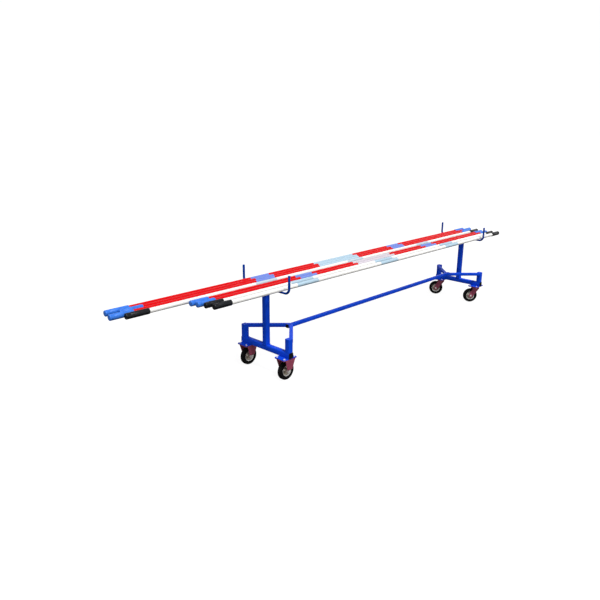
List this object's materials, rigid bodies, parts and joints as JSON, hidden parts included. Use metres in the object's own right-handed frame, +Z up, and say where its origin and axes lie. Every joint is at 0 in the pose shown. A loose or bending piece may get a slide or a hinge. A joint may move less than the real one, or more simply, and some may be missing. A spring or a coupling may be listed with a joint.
{
  "type": "crossbar cart",
  "caption": "Wheeled steel cart with two hooked cradles on masts, a spine tube and castors, carrying long striped crossbars.",
  "frame": {"origin": "on the floor, under the middle of the loaded cart's box", "axes": "+X along the cart from its fixed castors to its swivel castors, +Y from the front of the picture to the back, +Z up"},
  "size_m": [4.6098, 0.6058, 0.825],
  "materials": {
    "blue_paint": "glossy blue powder coat",
    "black_plastic": "moulded black plastic",
    "zinc_steel": "bright zinc plate",
    "maroon_paint": "maroon paint on pressed steel",
    "rim_steel": "plated pressed steel",
    "tyre": "solid black rubber",
    "bar_red": "red glass-fibre with light blue bands and ends",
    "bar_white": "white glass-fibre with pale blue bands and black ends"
  },
  "bodies": {
    "frame": {"left_base_beam": "blue_paint", "left_cradle": "blue_paint", "left_front_axle": "zinc_steel", "left_front_axle_nut": "zinc_steel", "left_front_beam_plug": "black_plastic", "left_front_brace": "blue_paint", "left_front_castor_plate": "maroon_paint", "left_front_fork": "maroon_paint", "left_front_mount_plate": "blue_paint", "left_front_post": "blue_paint", "left_mast": "blue_paint", "left_rear_axle": "zinc_steel", "left_rear_axle_nut": "zinc_steel", "left_rear_beam_plug": "black_plastic", "left_rear_brace": "blue_paint", "left_rear_castor_plate": "maroon_paint", "left_rear_fork": "maroon_paint", "left_rear_mount_plate": "blue_paint", "left_rear_post": "blue_paint", "left_spine_plug": "black_plastic", "right_base_beam": "blue_paint", "right_cradle": "blue_paint", "right_front_beam_plug": "black_plastic", "right_front_brace": "blue_paint", "right_front_castor_plate": "maroon_paint", "right_front_mount_plate": "blue_paint", "right_front_post": "blue_paint", "right_mast": "blue_paint", "right_rear_beam_plug": "black_plastic", "right_rear_brace": "blue_paint", "right_rear_castor_plate": "maroon_paint", "right_rear_mount_plate": "blue_paint", "right_rear_post": "blue_paint", "right_spine_plug": "black_plastic", "spine_tube": "blue_paint"},
    "right_front_swivel_fork": {"right_front_fork": "maroon_paint", "right_front_axle": "zinc_steel", "right_front_axle_nut": "zinc_steel"},
    "right_rear_swivel_fork": {"right_rear_fork": "maroon_paint", "right_rear_axle": "zinc_steel", "right_rear_axle_nut": "zinc_steel"},
    "left_front_wheel": {"left_front_rim": "rim_steel", "left_front_tyre": "tyre"},
    "left_rear_wheel": {"left_rear_rim": "rim_steel", "left_rear_tyre": "tyre"},
    "right_front_wheel": {"right_front_rim": "rim_steel", "right_front_tyre": "tyre"},
    "right_rear_wheel": {"right_rear_rim": "rim_steel", "right_rear_tyre": "tyre"},
    "long_crossbar_1_body": {"long_crossbar_1": "bar_red"},
    "long_crossbar_2_body": {"long_crossbar_2": "bar_red"},
    "long_crossbar_3_body": {"long_crossbar_3": "bar_red"},
    "long_crossbar_4_body": {"long_crossbar_4": "bar_white"},
    "short_crossbar_1_body": {"short_crossbar_1": "bar_red"},
    "short_crossbar_2_body": {"short_crossbar_2": "bar_red"},
    "short_crossbar_3_body": {"short_crossbar_3": "bar_white"},
    "short_crossbar_4_body": {"short_crossbar_4": "bar_white"}
  },
  "joints": [
    {"name": "right_front_swivel", "type": "hinge", "parent": "frame", "child": "right_front_swivel_fork", "pos_m": [1.87082, -0.24258, 0], "axis": [0, 0, 1], "continuous": true},
    {"name": "right_rear_swivel", "type": "hinge", "parent": "frame", "child": "right_rear_swivel_fork", "pos_m": [1.87082, 0.18743, 0], "axis": [0, 0, 1], "continuous": true},
    {"name": "left_front_wheel_spin", "type": "hinge", "parent": "frame", "child": "left_front_wheel", "pos_m": [-1.06517, -0.24258, 0.07464], "axis": [0, 1, 0], "continuous": true},
    {"name": "left_rear_wheel_spin", "type": "hinge", "parent": "frame", "child": "left_rear_wheel", "pos_m": [-1.06517, 0.18743, 0.07464], "axis": [0, 1, 0], "continuous": true},
    {"name": "right_front_wheel_spin", "type": "hinge", "parent": "right_front_swivel_fork", "child": "right_front_wheel", "pos_m": [1.83198, -0.20506, 0.07464], "axis": [0.6947, 0.7193, 0], "continuous": true},
    {"name": "right_rear_wheel_spin", "type": "hinge", "parent": "right_rear_swivel_fork", "child": "right_rear_wheel", "pos_m": [1.84221, 0.23322, 0.07464], "axis": [0.848, 0.5299, 0], "continuous": true},
    {"name": "long_crossbar_1_lift", "type": "slide", "parent": "frame", "child": "long_crossbar_1_body", "axis": [0, 0, 1], "range_m": [0, 0.2]},
    {"name": "long_crossbar_2_lift", "type": "slide", "parent": "frame", "child": "long_crossbar_2_body", "axis": [0, 0, 1], "range_m": [0, 0.2]},
    {"name": "long_crossbar_3_lift", "type": "slide", "parent": "frame", "child": "long_crossbar_3_body", "axis": [0, 0, 1], "range_m": [0, 0.2]},
    {"name": "long_crossbar_4_lift", "type": "slide", "parent": "frame", "child": "long_crossbar_4_body", "axis": [0, 0, 1], "range_m": [0, 0.2]},
    {"name": "short_crossbar_1_lift", "type": "slide", "parent": "frame", "child": "short_crossbar_1_body", "axis": [0, 0, 1], "range_m": [0, 0.2]},
    {"name": "short_crossbar_2_lift", "type": "slide", "parent": "frame", "child": "short_crossbar_2_body", "axis": [0, 0, 1], "range_m": [0, 0.2]},
    {"name": "short_crossbar_3_lift", "type": "slide", "parent": "frame", "child": "short_crossbar_3_body", "axis": [0, 0, 1], "range_m": [0, 0.2]},
    {"name": "short_crossbar_4_lift", "type": "slide", "parent": "frame", "child": "short_crossbar_4_body", "axis": [0, 0, 1], "range_m": [0, 0.2]}
  ]
}
